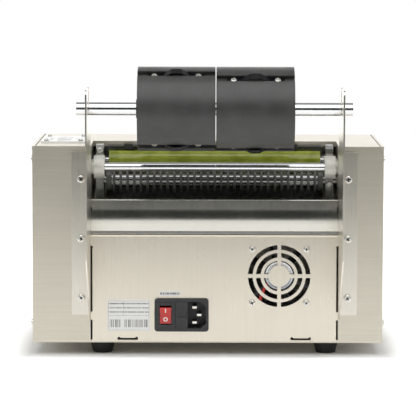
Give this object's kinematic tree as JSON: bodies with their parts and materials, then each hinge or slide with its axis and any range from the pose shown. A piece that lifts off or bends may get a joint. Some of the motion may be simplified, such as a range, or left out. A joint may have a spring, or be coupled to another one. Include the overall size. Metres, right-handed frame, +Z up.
{
  "type": "roll-fed sheeter",
  "caption": "Bench-top roll-fed sheeter: core drums on a lift-out shaft, a ribbed feed roller with a pinch roller, and a guillotine at the outlet.",
  "frame": {"origin": "on the ground, under the middle of the whole machine", "axes": "+X to the right seen from the roll side, +Y towards the outlet, +Z up"},
  "size_m": [0.327, 0.245, 0.2687],
  "materials": {
    "brushed_sheet": "vertical or horizontal brushed grain",
    "bracket_steel": "near-mirror",
    "frame_steel": "ground",
    "chrome_rod": "polished",
    "hub_aluminium": "satin turned",
    "drum_nylon": "satin turned",
    "sleeve_plastic": "satin",
    "leaf_steel": "blued",
    "screw_steel": "bright plated",
    "roller_black": "satin",
    "polyurethane": "translucent",
    "gear_nylon": "moulded",
    "brass_pinion": "cut",
    "motor_case": "satin black",
    "supply_block": "grey",
    "board_laminate": "solder mask",
    "fan_plastic": "moulded",
    "lead_red": "insulation",
    "inlet_black": "moulded",
    "pin_metal": "nickel",
    "rocker_red": "gloss",
    "guide_black": "satin black",
    "guide_block": "moulded",
    "panel_plastic": "satin pale grey",
    "key_rubber": "satin",
    "foot_rubber": "moulded"
  },
  "bodies": {
    "case": {"base_plate": "brushed_sheet", "left_housing": "brushed_sheet", "right_housing": "brushed_sheet", "left_side_cover": "brushed_sheet", "right_side_cover": "brushed_sheet", "top_cover": "brushed_sheet", "front_panel": "brushed_sheet", "exit_lip": "brushed_sheet", "chute": "brushed_sheet", "rear_panel": "brushed_sheet", "left_bracket": "bracket_steel", "right_bracket": "bracket_steel", "left_frame_plate": "frame_steel", "right_frame_plate": "frame_steel", "feed_table": "brushed_sheet", "guide_bar": "guide_black", "fixed_blade": "frame_steel", "blade_posts": "frame_steel", "solenoid": "motor_case", "feed_motor": "motor_case", "power_supply": "supply_block", "control_board": "board_laminate", "key_panel": "panel_plastic", "fan_frame": "fan_plastic", "fan_leads": "lead_red", "inlet_body": "inlet_black", "inlet_pins": "pin_metal", "rod_hubs": "hub_aluminium", "feet": "foot_rubber", "big_screws": "screw_steel", "small_screws": "screw_steel", "fan_screws": "screw_steel"},
    "shaft": {"roll_shaft": "chrome_rod"},
    "left_sleeve": {"left_sleeve": "sleeve_plastic"},
    "right_sleeve": {"right_sleeve": "sleeve_plastic"},
    "left_drum": {"left_drum": "drum_nylon", "left_drum_springs": "leaf_steel", "left_drum_screws": "screw_steel"},
    "right_drum": {"right_drum": "drum_nylon", "right_drum_springs": "leaf_steel", "right_drum_screws": "screw_steel"},
    "guide_rod": {"guide_rod": "chrome_rod"},
    "feed_roller": {"feed_axle": "frame_steel", "feed_discs": "roller_black", "feed_spacers": "roller_black", "feed_gear": "gear_nylon"},
    "pinch_roller": {"pinch_axle": "frame_steel", "pinch_sleeve": "polyurethane", "pinch_gear": "gear_nylon"},
    "motor_pinion": {"motor_pinion": "brass_pinion"},
    "fan_rotor": {"fan_rotor": "fan_plastic"},
    "rocker": {"rocker_switch": "rocker_red"},
    "fuse_drawer": {"fuse_drawer": "inlet_black"},
    "guillotine": {"blade_carriage": "frame_steel", "moving_blade": "frame_steel", "solenoid_plunger": "chrome_rod"},
    "left_edge_guide": {"left_edge_guide": "guide_block"},
    "right_edge_guide": {"right_edge_guide": "guide_block"},
    "feed_key": {"feed_key": "key_rubber"},
    "cut_key": {"cut_key": "key_rubber"}
  },
  "joints": [
    {"name": "shaft_lift", "type": "slide", "parent": "case", "child": "shaft", "axis": [0, 0, 1], "range_m": [0, 0.06]},
    {"name": "left_sleeve_slide", "type": "slide", "parent": "shaft", "child": "left_sleeve", "axis": [1, 0, 0], "range_m": [-0.04, 0]},
    {"name": "right_sleeve_slide", "type": "slide", "parent": "shaft", "child": "right_sleeve", "axis": [1, 0, 0], "range_m": [0, 0.04]},
    {"name": "left_drum_spin", "type": "hinge", "parent": "left_sleeve", "child": "left_drum", "pos_m": [-0.0284, -0.0825, 0.2307], "axis": [1, 0, 0], "continuous": true},
    {"name": "right_drum_spin", "type": "hinge", "parent": "right_sleeve", "child": "right_drum", "pos_m": [0.0425, -0.0825, 0.2307], "axis": [1, 0, 0], "continuous": true},
    {"name": "guide_rod_spin", "type": "hinge", "parent": "case", "child": "guide_rod", "pos_m": [0.0062, -0.0205, 0.1726], "axis": [1, 0, 0], "continuous": true},
    {"name": "feed_roller_spin", "type": "hinge", "parent": "case", "child": "feed_roller", "pos_m": [0.0062, -0.0015, 0.1587], "axis": [1, 0, 0], "continuous": true},
    {"name": "pinch_roller_spin", "type": "hinge", "parent": "case", "child": "pinch_roller", "pos_m": [0.0062, 0.0087, 0.17671], "axis": [1, 0, 0], "continuous": true},
    {"name": "motor_spin", "type": "hinge", "parent": "case", "child": "motor_pinion", "pos_m": [0.1275, -0.0015, 0.14115], "axis": [1, 0, 0], "continuous": true},
    {"name": "fan_spin", "type": "hinge", "parent": "case", "child": "fan_rotor", "pos_m": [0.066, -0.0395, 0.0742], "axis": [0, 1, 0], "continuous": true},
    {"name": "rocker_tilt", "type": "hinge", "parent": "case", "child": "rocker", "pos_m": [-0.0388, -0.0455, 0.0379], "axis": [1, 0, 0], "range_deg": [-16, 0]},
    {"name": "fuse_drawer_slide", "type": "slide", "parent": "case", "child": "fuse_drawer", "axis": [0, -1, 0], "range_m": [0, 0.018]},
    {"name": "blade_stroke", "type": "slide", "parent": "case", "child": "guillotine", "axis": [0, 0, 1], "range_m": [-0.01, 0], "stiffness_N_per_m": 800, "springref_m": 0.01},
    {"name": "left_guide_slide", "type": "slide", "parent": "case", "child": "left_edge_guide", "axis": [1, 0, 0], "range_m": [-0.012, 0.07]},
    {"name": "right_guide_slide", "type": "slide", "parent": "case", "child": "right_edge_guide", "axis": [1, 0, 0], "range_m": [-0.07, 0.012]},
    {"name": "feed_key_press", "type": "slide", "parent": "case", "child": "feed_key", "axis": [0, 0, -1], "range_m": [0, 0.0012], "stiffness_N_per_m": 300, "springref_m": -0.0006},
    {"name": "cut_key_press", "type": "slide", "parent": "case", "child": "cut_key", "axis": [0, 0, -1], "range_m": [0, 0.0012], "stiffness_N_per_m": 300, "springref_m": -0.0006}
  ],
  "couplings": [
    {"joint": "pinch_roller_spin", "follows": "feed_roller_spin", "ratio": -1.3},
    {"joint": "motor_spin", "follows": "feed_roller_spin", "ratio": -2}
  ]
}
